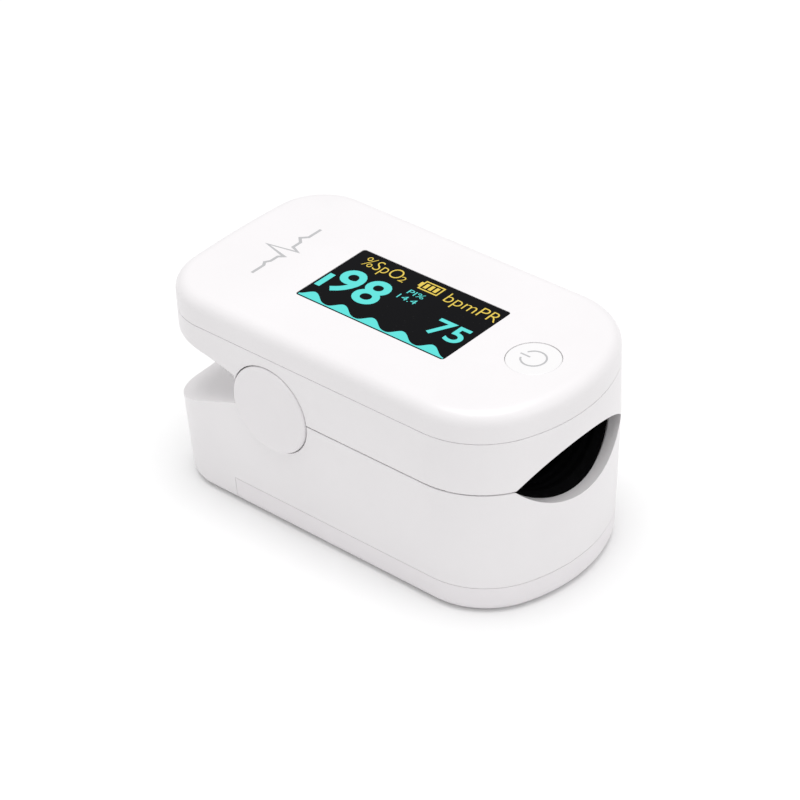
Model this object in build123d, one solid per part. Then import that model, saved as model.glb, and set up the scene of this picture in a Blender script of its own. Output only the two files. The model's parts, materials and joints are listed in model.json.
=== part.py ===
from build123d import *
import math
import os

# Fingertip pulse oximeter: two clamshell jaws on a sprung hinge, a display and one button on
# top, two AAA cells behind a sliding door underneath. Millimetres, +X towards the finger
# mouth, +Z up, origin under the middle of the body on the surface that it stands on.

os.makedirs("parts", exist_ok=True)

# Overall body
WIDTH = 31.4
HEIGHT = 30.2
FRONT_X = 29.25
UPPER_REAR_X = -28.75
LOWER_REAR_X = -29.56  # at the jaw line, the lower jaw's wall leans in from here
NOSE_R = 22.0  # blunt curve of the mouth end
NOSE_CORNER_R = 11.3
TAIL_R = 124.0  # almost flat curve of the squeeze end
TAIL_CORNER_R = 8.0
DRAFT = 0.9  # how far the lower jaw's side leans in from the jaw line to the base
TOP_EDGE_R = 1.8
BASE_EDGE_R = 1.6
SEAM_R = 0.1  # softened edges along the parting lines
SQUEEZE_EDGE_R = 0.6
NOTCH_INNER_X = -14.35  # where the wedge of air between the squeeze ends stops

# Parting lines
COVER_Z = 26.1  # top cover on upper housing
JAW_Z = 18.6  # upper jaw on lower jaw
DOOR_Z = 4.0  # battery door on lower housing
DOOR_X = -16.5
JAW_GAP = 0.16
COVER_GAP = 0.04
DOOR_GAP = 0.06

# Walls
WALL = 1.7
TOP_WALL = 1.5
BASE_WALL = 1.4
COVER_INNER_Z = HEIGHT - TOP_WALL

# Hinge
HINGE_X = -8.5
HINGE_Z = 18.4
PIN_R = 1.0
PIN_END_Y = 13.85
EAR_R = 3.8
EAR_Y = (10.4, 12.6)
CHEEK_Y = (12.85, 14.9)
CAP_R = 6.1
CAP_FACE_Y = 16.0
CAP_BACK_Y = 14.95
CAP_GAP = 0.16
CAP_STUB_R = 2.0
CAP_STUB_Y = 14.05
BARREL_R = (4.6, 5.6)
SWEEP_R = 6.7  # room in the lower jaw for the upper jaw to swing
HINGE_FLOOR_Z = 13.9
ROOF_Z = 21.0
ROOF_T = 1.2
SPRING_WIRE_R = 0.35
SPRING_COIL_R = 2.05
SPRING_START_Y = 5.0
SPRING_TURNS = 4.5
SPRING_PITCH = 0.8
SPRING_LEG = 3.7
CABLE_T = 0.2
CABLE_HALF_WIDTH = 3.0
CABLE_Z = (13.05, 25.25)

# Finger tunnel: two shallow arcs that cross at the jaw line
UPPER_ARC_R = 15.0
UPPER_ARC_Z = 22.7 - UPPER_ARC_R
LOWER_ARC_R = 13.6
LOWER_ARC_Z = 13.9 + LOWER_ARC_R
PAD_LIP = 0.15  # the pads stand proud of the mouth by this much
UPPER_PAD_T = 1.35
LOWER_PAD_T = 0.75  # thin, because the cells lie close under it
POCKET_FIT = 0.1
TUNNEL_REAR_X = -3.2
MOUTH_WALL = 1.5
CEILING_T = 1.0

# Battery bay
CELL_R = 5.25
CELL_LENGTH = 44.5
CELL_Y = 5.6
CELL_Z = 6.8
NUB_R = 1.9
NUB_LENGTH = 0.9
BAY_X = (-25.9, 23.0)
BAY_TOP_Z = 12.25
CONTACT_T = 0.4
CONTACT_FIT = 0.1

# Optics
OPTIC_X = 10.0
OPTIC_BOARD = (9.0, 6.0, 0.6)
OPTIC_WINDOW = (5.0, 4.0, 0.5)
OPTIC_OPENING = (5.2, 4.2)  # hole in each pad over its window
OPTIC_POCKET_X = 4.7
OPTIC_BOSS_X = 5.4
EMITTER_BOARD_Z = 24.2
EMITTER_LED = (3.6, 2.8, 1.0)
EMITTER_WINDOW_Z = 22.5
DETECTOR_BOARD_Z = 12.43
PHOTODIODE = (4.2, 3.4, 0.5)
DETECTOR_WINDOW_Z = 13.62

# Display and button
DISPLAY_X = 0.8
DISPLAY_Y = -0.45  # the panel's lit area lies a little off its middle
WINDOW_SIZE = (24.1, 13.0)
WINDOW_CORNER_R = 0.4
WINDOW_T = 1.0
WINDOW_SINK = 0.05
PANEL_SIZE = (26.7, 19.2, 1.3)
BUTTON_X = 21.3
BUTTON_R = 3.5
BUTTON_HOLE_R = 3.54
BUTTON_FLANGE_R = 4.3

# Main board
BOARD_Z = (25.9, 26.7)
BOARD_INSET = 3.3

SCREW_X = -24.0
SCREW_Y = 9.0
SCREW_HEAD_Z = 23.66  # underside of the head, which sits in a seat from below
SCREW_HEAD_R = 1.95
SCREW_HEAD_T = 1.1
SCREW_SHANK_R = 0.9
SCREW_TIP_Z = COVER_INNER_Z - 0.9

# Door rails
RAIL_X = (DOOR_X, 13.0)
RAIL_TONGUE_Y = (12.6, 13.6)
RAIL_TONGUE_Z = (2.55, 3.15)


def plan(inset, rear_x):
    """Outline of the body seen from above, pulled in by inset."""
    half = WIDTH / 2 - inset
    nose_x = FRONT_X - NOSE_R + math.sqrt((NOSE_R - inset) ** 2 - half**2)
    tail_x = rear_x + TAIL_R - math.sqrt((TAIL_R - inset) ** 2 - half**2)
    outline = [
        ThreePointArc((nose_x, -half), (FRONT_X - inset, 0), (nose_x, half)),
        Line((nose_x, half), (tail_x, half)),
        ThreePointArc((tail_x, half), (rear_x + inset, 0), (tail_x, -half)),
        Line((tail_x, -half), (nose_x, -half)),
    ]
    blank = make_face(Curve() + outline)
    blank = fillet(blank.vertices().sort_by(Axis.X)[2:], NOSE_CORNER_R - inset)
    return fillet(blank.vertices().sort_by(Axis.X)[:2], TAIL_CORNER_R - inset)


def upper_slab(z0, z1, inset=0.0):
    return Pos(0, 0, z0) * extrude(plan(inset, UPPER_REAR_X), z1 - z0)


def lower_slab(z0, z1, inset=0.0):
    """A slice of the lower jaw, whose sides lean in towards the base."""
    faces = []
    for z in (z0, z1):
        lean = DRAFT * (JAW_Z - z) / JAW_Z
        faces.append(Pos(0, 0, z) * plan(inset + lean, LOWER_REAR_X))
    return loft(faces, ruled=True)


def box(x, y, z):
    """A box from its (low, high) spans."""
    spans = (x, y, z)
    size = [high - low for low, high in spans]
    centre = [(low + high) / 2 for low, high in spans]
    return Pos(*centre) * Box(*size)


def both_sides(shape):
    return shape + mirror(shape, Plane.XZ)


def rod_x(radius, x0, x1, y, z):
    """Cylinder along X."""
    return Pos((x0 + x1) / 2, y, z) * Rot(0, 90, 0) * Cylinder(radius, x1 - x0)


def rod_y(radius, y0, y1, x=HINGE_X, z=HINGE_Z):
    """Cylinder along Y, on the hinge axis unless told otherwise."""
    return Pos(x, (y0 + y1) / 2, z) * Rot(90, 0, 0) * Cylinder(radius, y1 - y0)


def rod_z(radius, z0, z1, x, y=0.0):
    return Pos(x, y, (z0 + z1) / 2) * Cylinder(radius, z1 - z0)


def side_prism(edges, half_width):
    """Prism across the body from a closed outline of lines and arcs in X and Z."""
    outline = Curve() + [Plane.XZ * edge for edge in edges]
    return extrude(make_face(outline), half_width, both=True)


def curve(*xz):
    return ThreePointArc(*[(x, z) for x, z in xz])


def squeeze_notch(lift, drop):
    """The wedge of air between the jaws' squeeze ends, with its faces moved by lift and drop."""
    mouth_x, inner_x = -40.0, NOTCH_INNER_X
    high, low = 22.95 + lift, 11.3 - drop
    top = curve((inner_x, 20.75 + lift), (-20.25, 22.1 + lift), (-28.5, high))
    base = curve((inner_x, 16.9 - drop), (-20.75, 14.45 - drop), (-29.0, low))
    rim = Polyline((-28.5, high), (mouth_x, high), (mouth_x, low), (-29.0, low))
    inner = Line((inner_x, 16.9 - drop), (inner_x, 20.75 + lift))
    return side_prism([inner, top, rim, base], 20)


def cut_squeeze_end(shell):
    """Cut the wedge of air out of the upper jaw's plain slab and round its outer rim."""
    shell = shell - squeeze_notch(0, 0)
    sloped = shell.faces().filter_by(GeomType.CYLINDER).sort_by(SortBy.AREA)[-1]
    rim = [edge for edge in sloped.edges() if edge.center().X < NOTCH_INNER_X - 0.2]
    return fillet(rim, SQUEEZE_EDGE_R)


def barrel_sector(radius, from_deg, to_deg, half_width):
    """A sector of a cylinder on the hinge axis; angles run up from +X."""
    a, b = math.radians(from_deg), math.radians(to_deg)
    mid = (a + b) / 2

    def at(angle):
        return (HINGE_X + radius * math.cos(angle), HINGE_Z + radius * math.sin(angle))

    hub = (HINGE_X, HINGE_Z)
    edges = [Line(hub, at(a)), ThreePointArc(at(a), at(mid), at(b)), Line(at(b), hub)]
    return side_prism(edges, half_width)


def hinge_sweep(radius, y0, y1):
    return both_sides(rod_y(radius, y0, y1))


def tunnel_arch(radius, x0, x1):
    return rod_x(radius, x0, x1, 0, UPPER_ARC_Z)


def tunnel_trough(radius, x0, x1):
    return rod_x(radius, x0, x1, 0, LOWER_ARC_Z)


def optic_opening(z0, z1):
    x, y = OPTIC_OPENING
    return Pos(OPTIC_X, 0, (z0 + z1) / 2) * Box(x, y, z1 - z0)


def make_top_cover():
    z0 = COVER_Z + COVER_GAP / 2
    shell = upper_slab(z0, HEIGHT)
    shell = fillet(shell.faces().sort_by(Axis.Z)[-1].edges(), TOP_EDGE_R)
    shell = fillet(shell.faces().sort_by(Axis.Z)[0].edges(), SEAM_R)
    shell -= upper_slab(z0 - 1, COVER_INNER_Z, WALL)
    lip = upper_slab(z0, z0 + 1.2, 1.0) - upper_slab(z0 - 1, z0 + 2, WALL + 1.1)
    lip += upper_slab(COVER_Z - 1.0, z0, WALL + 0.1) - upper_slab(COVER_Z - 2, z0 + 1, WALL + 1.1)
    hinge_relief = box((-22, -3), (-20, 20), (COVER_Z - 2, COVER_Z - 0.4))
    shell += lip - hinge_relief
    boss = rod_z(2.2, COVER_Z - 1.0, COVER_INNER_Z + 0.2, SCREW_X, SCREW_Y)
    shell += both_sides(boss)
    shell -= both_sides(rod_z(SCREW_SHANK_R + 0.03, COVER_Z - 2, COVER_INNER_Z - 0.3, SCREW_X, SCREW_Y))
    seat_z = HEIGHT - WINDOW_SINK - WINDOW_T
    recess = Rectangle(WINDOW_SIZE[0] + 0.1, WINDOW_SIZE[1] + 0.1)
    recess = fillet(recess.vertices(), WINDOW_CORNER_R + 0.05)
    shell -= Pos(DISPLAY_X, DISPLAY_Y, seat_z) * extrude(recess, 5)
    sight = Rectangle(WINDOW_SIZE[0] - 0.9, WINDOW_SIZE[1] - 0.9)
    shell -= Pos(DISPLAY_X, DISPLAY_Y, COVER_INNER_Z - 1) * extrude(sight, 5)
    shell -= rod_z(BUTTON_HOLE_R, COVER_INNER_Z - 1, HEIGHT + 1, BUTTON_X)
    return shell


def make_upper_housing():
    z0 = JAW_Z + JAW_GAP / 2
    z1 = COVER_Z - COVER_GAP / 2
    shell = upper_slab(z0, z1)
    seams = shell.faces().sort_by(Axis.Z)
    shell = fillet(seams[0].edges() + seams[-1].edges(), SEAM_R)
    shell = cut_squeeze_end(shell)
    ceiling = tunnel_arch(UPPER_ARC_R + UPPER_PAD_T - PAD_LIP + POCKET_FIT + CEILING_T, TUNNEL_REAR_X - 1.2, 40)
    hinge_block = box((HINGE_X - 6.2, TUNNEL_REAR_X), (-20, 20), (z0, ROOF_Z + ROOF_T))
    bay = upper_slab(z0 + 1.2, z1 + 1, WALL) - ceiling - hinge_block
    bay -= squeeze_notch(1.2, 0)
    optic_boss = box((OPTIC_X - OPTIC_BOSS_X, OPTIC_X + OPTIC_BOSS_X), (-4, 4), (20, 25.5))
    shell -= bay - optic_boss
    shell += optic_boss & upper_slab(z0, z1)
    shell += both_sides(rod_z(2.9, 22.2, COVER_Z - 1.1, SCREW_X, SCREW_Y))
    shell -= squeeze_notch(0, 0)
    # pad pocket, mouth and emitter pocket
    pocket = tunnel_arch(UPPER_ARC_R + UPPER_PAD_T - PAD_LIP + POCKET_FIT, TUNNEL_REAR_X, 40)
    shell -= pocket & upper_slab(0, z1, MOUTH_WALL)
    shell -= tunnel_arch(UPPER_ARC_R, 10, 40)
    shell -= box((OPTIC_X - OPTIC_POCKET_X, OPTIC_X + OPTIC_POCKET_X), (-3.2, 3.2), (22, 24.9))
    # hinge: spring pocket, room for the lower jaw's cheeks, rear barrel, ears
    spring_pocket = hinge_sweep(BARREL_R[0], 0, CHEEK_Y[0] - 0.15)
    spring_pocket &= box((-20, HINGE_X + 4.1), (-20, 20), (0, ROOF_Z))
    shell -= spring_pocket
    shell -= hinge_sweep(CAP_R + CAP_GAP, CHEEK_Y[0] - 0.15, 20)
    barrel = barrel_sector(BARREL_R[1], 150, 196, CHEEK_Y[0] - 0.15)
    barrel -= hinge_sweep(BARREL_R[0], 0, 20)
    shell += barrel
    ear = rod_y(EAR_R, *EAR_Y) + box((HINGE_X - EAR_R, HINGE_X + EAR_R), EAR_Y, (HINGE_Z, ROOF_Z + 0.5))
    shell += both_sides(ear)
    shell -= hinge_sweep(PIN_R + 0.05, 0, 20)
    shell -= box((HINGE_X - 2.8, HINGE_X - 1.6), (-3.3, 3.3), (ROOF_Z - 0.5, ROOF_Z + 3))
    for side in (-1, 1):
        screw_hole = rod_z(1.15, 20, COVER_Z, SCREW_X, side * SCREW_Y)
        screw_seat = rod_z(SCREW_HEAD_R + 0.2, 18, SCREW_HEAD_Z + 0.04, SCREW_X, side * SCREW_Y)
        shell -= screw_hole + screw_seat
    return shell


def make_upper_pad():
    inner = UPPER_ARC_R - PAD_LIP
    outer = inner + UPPER_PAD_T
    room = upper_slab(JAW_Z + 0.15, COVER_Z, MOUTH_WALL + 0.1)
    pad = tunnel_arch(outer, TUNNEL_REAR_X + 0.1, 40) & room
    pad -= tunnel_arch(inner, TUNNEL_REAR_X + UPPER_PAD_T, 40)
    return pad - optic_opening(20, 26)


def make_display_window():
    outline = fillet(Rectangle(*WINDOW_SIZE).vertices(), WINDOW_CORNER_R)
    return Pos(DISPLAY_X, DISPLAY_Y, HEIGHT - WINDOW_SINK - WINDOW_T) * extrude(outline, WINDOW_T)


def make_oled_panel():
    top = COVER_INNER_Z - 0.15
    x, y, t = PANEL_SIZE
    glass = Pos(DISPLAY_X, 0, top - t / 2) * Box(x, y, t)
    ledge = box((DISPLAY_X - x / 2 - 1, DISPLAY_X - x / 2 + 2.2), (-20, 20), (top - 0.6, top + 1))
    return glass - ledge


def make_display_frame():
    """Foam frame that carries the panel off the main board."""
    top = COVER_INNER_Z - 0.15 - PANEL_SIZE[2]
    outer = Pos(DISPLAY_X, 0) * Rectangle(PANEL_SIZE[0] - 0.6, PANEL_SIZE[1] - 0.6)
    inner = Pos(DISPLAY_X, 0) * Rectangle(PANEL_SIZE[0] - 4.6, PANEL_SIZE[1] - 4.6)
    return Pos(0, 0, BOARD_Z[1] + 0.02) * extrude(outer - inner, top - BOARD_Z[1] - 0.04)


def make_display_ribbon():
    """Folds from the panel's rear ledge down to the main board."""
    x0 = DISPLAY_X - PANEL_SIZE[0] / 2 + 1.9
    z_top = COVER_INNER_Z - 0.15 - 0.6
    z_low = BOARD_Z[1] + 0.03
    t = 0.12
    bend_x = x0 - 4.0
    r_out = (z_top + t - z_low) / 2
    mid_z = z_low + r_out
    outline = [
        Line((x0, z_top + t), (bend_x, z_top + t)),
        ThreePointArc((bend_x, z_top + t), (bend_x - r_out, mid_z), (bend_x, z_low)),
        Line((bend_x, z_low), (bend_x + 1.6, z_low)),
        Line((bend_x + 1.6, z_low), (bend_x + 1.6, z_low + t)),
        Line((bend_x + 1.6, z_low + t), (bend_x, z_low + t)),
        ThreePointArc((bend_x, z_low + t), (bend_x - r_out + t, mid_z), (bend_x, z_top)),
        Line((bend_x, z_top), (x0, z_top)),
        Line((x0, z_top), (x0, z_top + t)),
    ]
    return side_prism(outline, 5.5)


def make_main_board():
    board = upper_slab(*BOARD_Z, BOARD_INSET)
    board -= both_sides(rod_z(2.6, 20, 30, SCREW_X, SCREW_Y))
    return board


def make_controller_chip():
    body = box((-21.5, -16.5), (-7.0, -2.0), (BOARD_Z[1] + 0.05, BOARD_Z[1] + 0.85))
    return chamfer(body.faces().sort_by(Axis.Z)[-1].edges(), 0.12)


def make_front_end_chip():
    body = box((-21.5, -17.5), (-3.0, 3.0), (BOARD_Z[0] - 1.05, BOARD_Z[0] - 0.05))
    return chamfer(body.faces().sort_by(Axis.Z)[0].edges(), 0.12)


def make_smd_parts():
    """Small capacitors, resistors and a crystal on the board's rear top side."""
    parts = []
    for x in (-21.6, -19.6, -17.6):
        for y in (3.4, 5.0, 6.6):
            top = BOARD_Z[1] + 0.04
            parts.append(box((x - 0.5, x + 0.5), (y - 0.28, y + 0.28), (top, top + 0.45)))
    crystal = box((-21.6, -18.4), (8.0, 9.6), (BOARD_Z[1] + 0.04, BOARD_Z[1] + 0.84))
    return Compound(children=[*parts, crystal])


def make_tact_switch():
    z0 = BOARD_Z[1] + 0.03
    body = box((BUTTON_X - 2.6, BUTTON_X + 2.6), (-2.6, 2.6), (z0, z0 + 1.0))
    body = chamfer(body.edges().filter_by(Axis.Z), 0.4)
    return body - rod_z(1.1, z0 + 0.25, z0 + 3, BUTTON_X)


def make_switch_plunger():
    return rod_z(1.0, BOARD_Z[1] + 0.62, COVER_INNER_Z - 0.62, BUTTON_X)


def make_power_button():
    z_flange = COVER_INNER_Z - 0.1
    cap = rod_z(BUTTON_R, z_flange - 0.3, HEIGHT - 0.02, BUTTON_X)
    cap = fillet(cap.faces().sort_by(Axis.Z)[-1].edges(), 0.18)
    return cap + rod_z(BUTTON_FLANGE_R, z_flange - 0.5, z_flange, BUTTON_X)


def make_emitter_board():
    x, y, t = OPTIC_BOARD
    return Pos(OPTIC_X, 0, EMITTER_BOARD_Z + t / 2) * Box(x, y, t)


def make_emitter_led():
    body = Pos(OPTIC_X, 0, EMITTER_BOARD_Z - 0.05 - EMITTER_LED[2] / 2) * Box(*EMITTER_LED)
    return chamfer(body.edges().filter_by(Axis.Z), 0.3)


def make_emitter_window():
    x, y, t = OPTIC_WINDOW
    return Pos(OPTIC_X, 0, EMITTER_WINDOW_Z + t / 2) * Box(x, y, t)


def make_flex_connector():
    body = box((HINGE_X + 0.2, HINGE_X + 3.2), (-4.2, 4.2), (BOARD_Z[0] - 1.25, BOARD_Z[0] - 0.03))
    slot = box((HINGE_X - 1, HINGE_X + 2.4), (-3.15, 3.15), (BOARD_Z[0] - 0.85, BOARD_Z[0] - 0.45))
    return body - slot


def make_cover_screws():
    """Two self-tapping screws from under the squeeze end into the top cover."""
    head_low = SCREW_HEAD_Z - SCREW_HEAD_T
    head = rod_z(SCREW_HEAD_R, head_low, SCREW_HEAD_Z, SCREW_X, SCREW_Y)
    head = fillet(head.faces().sort_by(Axis.Z)[0].edges(), 0.45)
    for turn in (0, 90):
        slot = Pos(SCREW_X, SCREW_Y, head_low) * Rot(0, 0, turn) * Box(2.2, 0.45, 1.1)
        head -= slot
    shank = rod_z(SCREW_SHANK_R, SCREW_HEAD_Z - 0.1, SCREW_TIP_Z, SCREW_X, SCREW_Y)
    on_base = (Align.CENTER, Align.CENTER, Align.MIN)
    tip = Pos(SCREW_X, SCREW_Y, SCREW_TIP_Z) * Cone(SCREW_SHANK_R, 0.1, 0.5, align=on_base)
    screw = head + shank + tip
    return Compound(children=[screw, mirror(screw, Plane.XZ)])


def lower_envelope():
    body = lower_slab(0, JAW_Z - JAW_GAP / 2)
    body = fillet(body.faces().sort_by(Axis.Z)[-1].edges(), SEAM_R)
    return fillet(body.faces().sort_by(Axis.Z)[0].edges(), BASE_EDGE_R)


def door_space(gap):
    """The block that the battery door takes out of the lower jaw, shrunk by gap."""
    return box((DOOR_X + gap, 40), (-20, 20), (-1, DOOR_Z - gap))


def make_lower_housing(envelope):
    shell = envelope - door_space(0)
    # battery bay, open downwards, with scalloped room for each cell
    bay = lower_slab(-0.5, BAY_TOP_Z, WALL) & box(BAY_X, (-20, 20), (-1, BAY_TOP_Z))
    bay -= squeeze_notch(0, 1.2)
    bay += both_sides(rod_x(CELL_R + 0.15, *BAY_X, CELL_Y, CELL_Z))
    rear_floor = box((-40, DOOR_X), (-20, 20), (-1, BASE_WALL))
    shell -= bay - rear_floor
    nose_void = lower_slab(-0.5, BAY_TOP_Z, WALL) & box((BAY_X[1] + 1.2, 40), (-20, 20), (-1, BAY_TOP_Z))
    shell -= nose_void
    bay_wall = box((BAY_X[1], BAY_X[1] + 1.2), (-11.0, 11.0), (1.8, BAY_TOP_Z + 0.2))
    shell += bay_wall & lower_slab(0, BAY_TOP_Z + 1, WALL + 0.2)
    # rails for the door: a skirt inside each side with a groove
    skirt = box(RAIL_X, (11.9, 12.9), (1.8, 4.6)) + box(RAIL_X, (11.9, 14.0), (4.1, 5.4))
    skirt -= box((DOOR_X - 1, 20), (12.45, 13.2), (2.4, 3.3))
    shell += both_sides(skirt)
    shell -= squeeze_notch(0, 0)
    # pad pocket, mouth and detector pocket
    pocket_r = LOWER_ARC_R + LOWER_PAD_T - PAD_LIP + POCKET_FIT
    shell += box((OPTIC_X - OPTIC_BOSS_X, OPTIC_X + OPTIC_BOSS_X), (-2.8, 2.8), (11.5, BAY_TOP_Z + 0.3))
    pocket = tunnel_trough(pocket_r, TUNNEL_REAR_X, 40) & lower_slab(0, JAW_Z, MOUTH_WALL)
    shell -= pocket
    shell -= tunnel_trough(LOWER_ARC_R, 10, 40)
    shell -= box((OPTIC_X - OPTIC_POCKET_X, OPTIC_X + OPTIC_POCKET_X), (-3.1, 3.1), (12.4, 16))
    # hinge: open pocket for ears, barrel and springs; cheeks; cap seats
    inner_y = CHEEK_Y[0] - 0.12
    swing_room = rod_y(SWEEP_R, -inner_y, inner_y)
    swing_room &= box((-20, HINGE_X + 4.05), (-20, 20), (HINGE_FLOOR_Z, 30))
    shell -= swing_room
    cheek = rod_y(CAP_R, *CHEEK_Y)
    shell += both_sides(cheek)
    shell -= hinge_sweep(CAP_R + CAP_GAP, CHEEK_Y[1] + 0.03, 20)
    shell -= hinge_sweep(PIN_R + 0.02, 0, PIN_END_Y + 0.1)
    shell -= hinge_sweep(CAP_STUB_R + 0.1, PIN_END_Y + 0.1, 20)
    for side in (-1, 1):
        seat_y = (side * 6.8 - 3.2, side * 6.8 + 3.2)
        shell += box((HINGE_X - 3.2, HINGE_X - 0.4), seat_y, (HINGE_FLOOR_Z - 0.4, 15.75))
    shell -= box((HINGE_X - 3.8, OPTIC_X), (-3.3, 3.3), (12.9, HINGE_FLOOR_Z + 0.05))
    shell -= box((HINGE_X + 3.8, TUNNEL_REAR_X + 0.1), (-3.3, 3.3), (12.9, 14.6))
    return shell


def make_battery_door(envelope):
    door = envelope & door_space(DOOR_GAP)
    door -= lower_slab(BASE_WALL, 6, WALL)
    for side in (-1, 1):
        low, high = sorted(side * edge for edge in RAIL_TONGUE_Y)
        door += box((DOOR_X + 1.5, RAIL_X[1] - 1.0), (low, high), RAIL_TONGUE_Z)
    grip_x = 21.0
    for i in range(5):
        door -= box((grip_x - i * 1.6, grip_x - i * 1.6 + 0.7), (-5, 5), (-1, 0.35))
    return door


def make_lower_pad():
    inner = LOWER_ARC_R - PAD_LIP
    outer = inner + LOWER_PAD_T
    room = lower_slab(1, JAW_Z - 0.15, MOUTH_WALL + 0.1)
    pad = tunnel_trough(outer, TUNNEL_REAR_X + 0.1, 40) & room
    pad -= tunnel_trough(inner, TUNNEL_REAR_X + LOWER_PAD_T, 40)
    return pad - optic_opening(10, 16)


def make_cell(side):
    """AAA cell; side -1 has its nub towards the mouth, side 1 towards the squeeze end."""
    y = side * CELL_Y
    body_length = CELL_LENGTH - NUB_LENGTH
    if side < 0:
        nub_tip = BAY_X[1] - CONTACT_T - CONTACT_FIT
        body = rod_x(CELL_R, nub_tip - CELL_LENGTH, nub_tip - NUB_LENGTH, y, CELL_Z)
        nub = rod_x(NUB_R, nub_tip - NUB_LENGTH, nub_tip, y, CELL_Z)
    else:
        nub_tip = BAY_X[0] + CONTACT_T + CONTACT_FIT
        body = rod_x(CELL_R, nub_tip + NUB_LENGTH, nub_tip + NUB_LENGTH + body_length, y, CELL_Z)
        nub = rod_x(NUB_R, nub_tip, nub_tip + NUB_LENGTH, y, CELL_Z)
    body = fillet(body.edges().filter_by(GeomType.CIRCLE), 0.5)
    return body + nub


def contact_spring(x_plate, direction, y):
    """Coil contact that stands on a plate and presses on a cell's flat end."""
    wire_r = 0.25
    coil_r = 2.5
    length = 3.0
    turns = 3
    helix = Helix(pitch=length / turns, height=length, radius=coil_r)
    section = Plane(origin=helix @ 0, z_dir=helix % 0) * Circle(wire_r)
    coil = sweep(section, path=helix)
    return Pos(x_plate + direction * 0.2, y, CELL_Z) * Rot(0, 90 * direction, 0) * coil


def contact_plate(x0, x1, y0, y1):
    plate = box((x0, x1), (y0, y1), (2.4, 11.2))
    return fillet(plate.edges().filter_by(Axis.X), 0.8)


def make_front_bridge_contact():
    """Joins one cell's nub to the other cell's flat end."""
    x1 = BAY_X[1] - 0.02
    plate = contact_plate(x1 - CONTACT_T, x1, -9.6, 9.6)
    return plate + contact_spring(x1 - CONTACT_T, -1, CELL_Y)


def make_rear_spring_contact():
    x0 = BAY_X[0] + 0.02
    plate = contact_plate(x0, x0 + CONTACT_T, -9.6, -1.4)
    return plate + contact_spring(x0 + CONTACT_T, 1, -CELL_Y)


def make_rear_plate_contact():
    x0 = BAY_X[0] + 0.02
    return contact_plate(x0, x0 + CONTACT_T, 1.4, 9.6)


def make_detector_board():
    x, y, t = OPTIC_BOARD
    return Pos(OPTIC_X, 0, DETECTOR_BOARD_Z + t / 2) * Box(x, y, t)


def make_photodiode():
    top = DETECTOR_BOARD_Z + OPTIC_BOARD[2]
    body = Pos(OPTIC_X, 0, top + 0.05 + PHOTODIODE[2] / 2) * Box(*PHOTODIODE)
    return chamfer(body.edges().filter_by(Axis.Z), 0.3)


def make_detector_window():
    x, y, t = OPTIC_WINDOW
    return Pos(OPTIC_X, 0, DETECTOR_WINDOW_Z + t / 2) * Box(x, y, t)


def make_hinge_pin():
    pin = rod_y(PIN_R, -PIN_END_Y, PIN_END_Y)
    return chamfer(pin.edges().filter_by(GeomType.CIRCLE), 0.25)


def make_pivot_cap():
    cap = rod_y(CAP_R, CAP_BACK_Y, CAP_FACE_Y)
    rim = cap.edges().sort_by(Axis.Y)[-1]
    cap = fillet(rim, 0.45)
    return cap + rod_y(CAP_STUB_R, CAP_STUB_Y, CAP_BACK_Y + 0.2)


def make_torsion_spring():
    """Coil on the pin; both legs point to the squeeze end and push the jaws apart there."""
    length = SPRING_TURNS * SPRING_PITCH
    helix = Helix(pitch=SPRING_PITCH, height=length, radius=SPRING_COIL_R)
    section = Plane(origin=helix @ 0, z_dir=helix % 0) * Circle(SPRING_WIRE_R)
    coil = sweep(section, path=helix)
    # helix starts on +X and runs up +Z; stand it on the hinge axis starting at the top
    coil = Pos(HINGE_X, SPRING_START_Y, HINGE_Z) * Rot(-90, 0, 0) * Rot(0, 0, -90) * coil
    leg_x = (HINGE_X - SPRING_LEG, HINGE_X)
    top = rod_x(SPRING_WIRE_R, *leg_x, SPRING_START_Y, HINGE_Z + SPRING_COIL_R)
    low = rod_x(SPRING_WIRE_R, *leg_x, SPRING_START_Y + length, HINGE_Z - SPRING_COIL_R)
    return coil + top + low


def make_flex_cable():
    """Flat cable from the detector board, behind the hinge pin, up to the main board."""
    t = CABLE_T
    x_up = HINGE_X - 2.1
    z_low, z_high = CABLE_Z
    r = 1.6
    x_start = OPTIC_X - OPTIC_BOARD[0] / 2 - 0.05
    x_end = HINGE_X + 1.8
    s = math.sqrt(0.5)
    outer = r + t
    outline = [
        Line((x_start, z_low), (x_up + r, z_low)),
        ThreePointArc(
            (x_up + r, z_low), (x_up + r - outer * s, z_low + outer - outer * s), (x_up - t, z_low + outer)
        ),
        Line((x_up - t, z_low + outer), (x_up - t, z_high - outer + t)),
        ThreePointArc(
            (x_up - t, z_high - r),
            (x_up + r - outer * s, z_high - r + outer * s),
            (x_up + r, z_high + t),
        ),
        Line((x_up + r, z_high + t), (x_end, z_high + t)),
        Line((x_end, z_high + t), (x_end, z_high)),
        Line((x_end, z_high), (x_up + r, z_high)),
        ThreePointArc(
            (x_up + r, z_high), (x_up + r - r * s, z_high - r + r * s), (x_up, z_high - r)
        ),
        Line((x_up, z_high - r), (x_up, z_low + t + r)),
        ThreePointArc(
            (x_up, z_low + t + r), (x_up + r - r * s, z_low + t + r - r * s), (x_up + r, z_low + t)
        ),
        Line((x_up + r, z_low + t), (x_start, z_low + t)),
        Line((x_start, z_low + t), (x_start, z_low)),
    ]
    return side_prism(outline, CABLE_HALF_WIDTH)


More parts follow.
